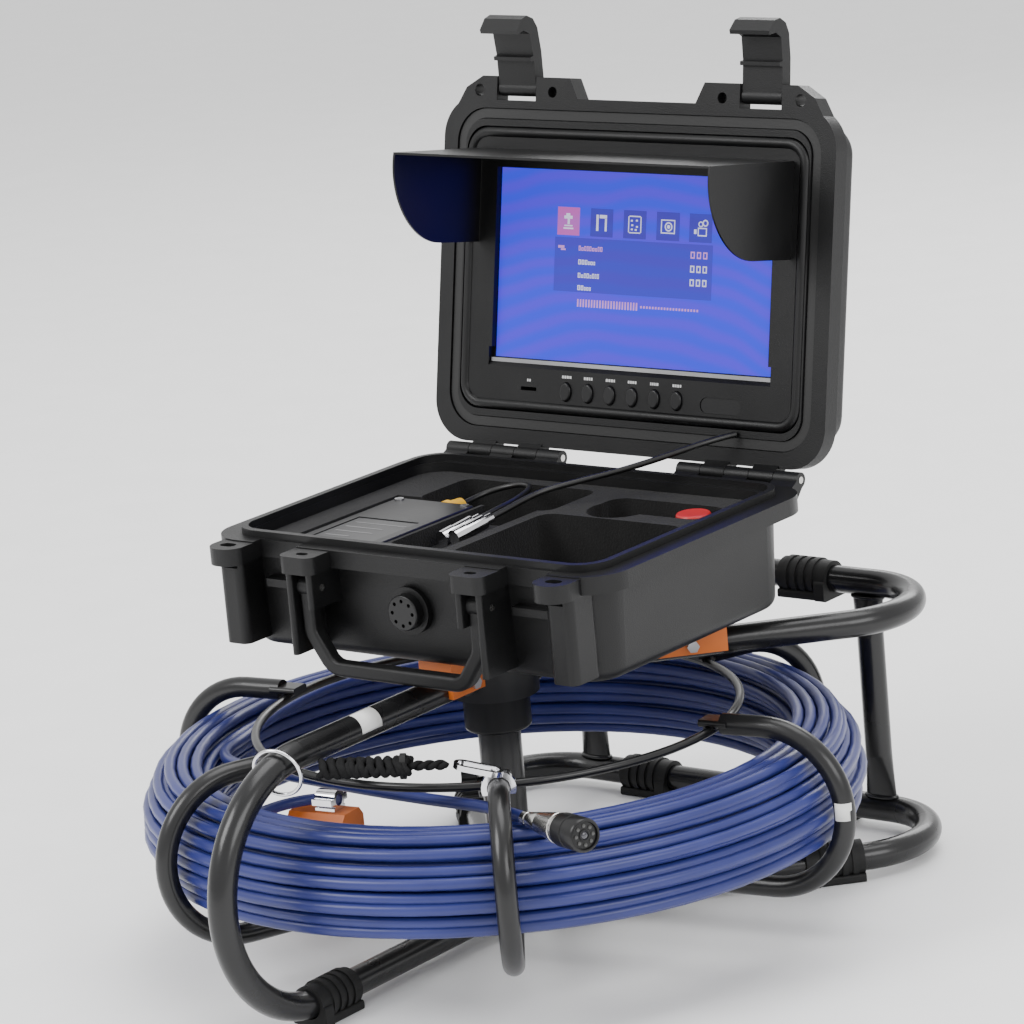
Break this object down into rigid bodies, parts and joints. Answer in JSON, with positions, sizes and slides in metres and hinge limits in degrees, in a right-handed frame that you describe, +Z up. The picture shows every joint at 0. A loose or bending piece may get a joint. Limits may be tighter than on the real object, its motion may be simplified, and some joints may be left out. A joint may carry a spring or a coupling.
{
  "type": "pipe inspection camera",
  "caption": "Push-rod pipe camera: a cable reel turns in a bent-tube frame under an open monitor case with sun visor, latches, handle and hinged lid.",
  "frame": {"origin": "centre of the bounding box on the floor, under the feet, the free cable left out", "axes": "+Z up, -Y the front, where the case's handle is and the screen faces, +X to the right seen from the front"},
  "size_m": [0.4346, 0.4868, 0.4896],
  "materials": {
    "tube_paint": "gloss",
    "cage_paint": "gloss",
    "hub_paint": "satin",
    "steel": "brushed",
    "zinc": "satin",
    "chrome": "polished",
    "foot_rubber": "matte",
    "saddle_orange": "satin",
    "case_plastic": "textured",
    "bezel_plastic": "fine texture",
    "screen": "anti-glare",
    "visor_plastic": "satin",
    "foam": "open cell foam",
    "gasket": "matte",
    "knob_plastic": "satin",
    "lens_glass": "clear",
    "cable_jacket": "satin",
    "lead_jacket": "satin",
    "cord_weave": "braided",
    "bush_plastic": "satin",
    "cap_red": "satin",
    "plug_yellow": "satin",
    "label_silver": "satin",
    "board": "satin"
  },
  "bodies": {
    "frame": {"front_frame_tube": "tube_paint", "upper_back_tube": "tube_paint", "lower_back_tube": "tube_paint", "back_struts": "tube_paint", "upper_hub": "hub_paint", "lower_hub": "hub_paint", "axle_bolt": "zinc", "axle_nut": "zinc", "bearing_collar": "bush_plastic", "thrust_washer": "zinc", "rubber_feet": "foot_rubber", "rubber_bumpers": "foot_rubber", "case_saddles": "saddle_orange", "saddle_bolts": "zinc", "split_ring": "chrome", "lanyard": "cord_weave", "carabiner": "chrome", "case_base": "case_plastic", "foam_insert": "foam", "battery_case": "knob_plastic", "battery_label_plate": "label_silver", "battery_screws": "zinc", "dc_plug": "plug_yellow", "av_connectors": "chrome", "spare_cap": "cap_red", "handle_pins": "steel", "video_lead": "lead_jacket", "battery_lead": "lead_jacket"},
    "reel": {"reel_hub": "cage_paint", "hub_bushes": "bush_plastic", "cage_hoops": "cage_paint", "cage_ring": "cage_paint", "cable_anchor": "saddle_orange", "anchor_clamp": "chrome", "cable_coil": "cable_jacket", "cable_tail": "cable_jacket", "camera_head": "steel", "lens_cap": "knob_plastic", "lens_window": "lens_glass"},
    "brake": {"brake_knob": "knob_plastic"},
    "lid": {"lid_shell": "case_plastic", "hinge_pins": "steel", "lid_gasket": "gasket", "monitor_bezel": "bezel_plastic", "lcd_panel": "screen", "control_board": "board", "sensor_window": "knob_plastic", "sun_visor": "visor_plastic", "latch_pins": "steel"},
    "left_latch": {"latch_left": "case_plastic"},
    "right_latch": {"latch_right": "case_plastic"},
    "handle": {"carry_handle": "case_plastic"},
    "valve": {"pressure_valve": "knob_plastic"},
    "menu_button_1": {"button_1": "knob_plastic"},
    "menu_button_2": {"button_2": "knob_plastic"},
    "menu_button_3": {"button_3": "knob_plastic"},
    "menu_button_4": {"button_4": "knob_plastic"},
    "menu_button_5": {"button_5": "knob_plastic"},
    "menu_button_6": {"button_6": "knob_plastic"}
  },
  "joints": [
    {"name": "reel_spin", "type": "hinge", "parent": "frame", "child": "reel", "pos_m": [0, 0.00785, 0.08], "axis": [0, 0, 1], "continuous": true},
    {"name": "brake_turn", "type": "hinge", "parent": "reel", "child": "brake", "pos_m": [-0.01558, -0.00298, 0.084], "axis": [-0.8211, -0.5708, 0], "range_deg": [-10, 540]},
    {"name": "lid_hinge", "type": "hinge", "parent": "frame", "child": "lid", "pos_m": [0, 0.14135, 0.236], "axis": [1, 0, 0], "range_deg": [0, 101.4], "deforming": ["sun_visor", "video_lead"]},
    {"name": "left_latch_turn", "type": "hinge", "parent": "lid", "child": "left_latch", "pos_m": [-0.087, 0.19051, 0.44439], "axis": [1, 0, 0], "range_deg": [-15, 73]},
    {"name": "right_latch_turn", "type": "hinge", "parent": "lid", "child": "right_latch", "pos_m": [0.087, 0.19051, 0.44439], "axis": [1, 0, 0], "range_deg": [-6, 82]},
    {"name": "handle_swing", "type": "hinge", "parent": "frame", "child": "handle", "pos_m": [0, -0.07315, 0.214], "axis": [1, 0, 0], "range_deg": [-95, 0]},
    {"name": "valve_turn", "type": "hinge", "parent": "frame", "child": "valve", "pos_m": [0, -0.06415, 0.202], "axis": [0, -1, 0], "range_deg": [-10, 360]},
    {"name": "button_1_press", "type": "slide", "parent": "lid", "child": "menu_button_1", "axis": [0, 0.9803, -0.1977], "range_m": [0, 0.001], "stiffness_N_per_m": 600},
    {"name": "button_2_press", "type": "slide", "parent": "lid", "child": "menu_button_2", "axis": [0, 0.9803, -0.1977], "range_m": [0, 0.001], "stiffness_N_per_m": 600},
    {"name": "button_3_press", "type": "slide", "parent": "lid", "child": "menu_button_3", "axis": [0, 0.9803, -0.1977], "range_m": [0, 0.001], "stiffness_N_per_m": 600},
    {"name": "button_4_press", "type": "slide", "parent": "lid", "child": "menu_button_4", "axis": [0, 0.9803, -0.1977], "range_m": [0, 0.001], "stiffness_N_per_m": 600},
    {"name": "button_5_press", "type": "slide", "parent": "lid", "child": "menu_button_5", "axis": [0, 0.9803, -0.1977], "range_m": [0, 0.001], "stiffness_N_per_m": 600},
    {"name": "button_6_press", "type": "slide", "parent": "lid", "child": "menu_button_6", "axis": [0, 0.9803, -0.1977], "range_m": [0, 0.001], "stiffness_N_per_m": 600}
  ]
}
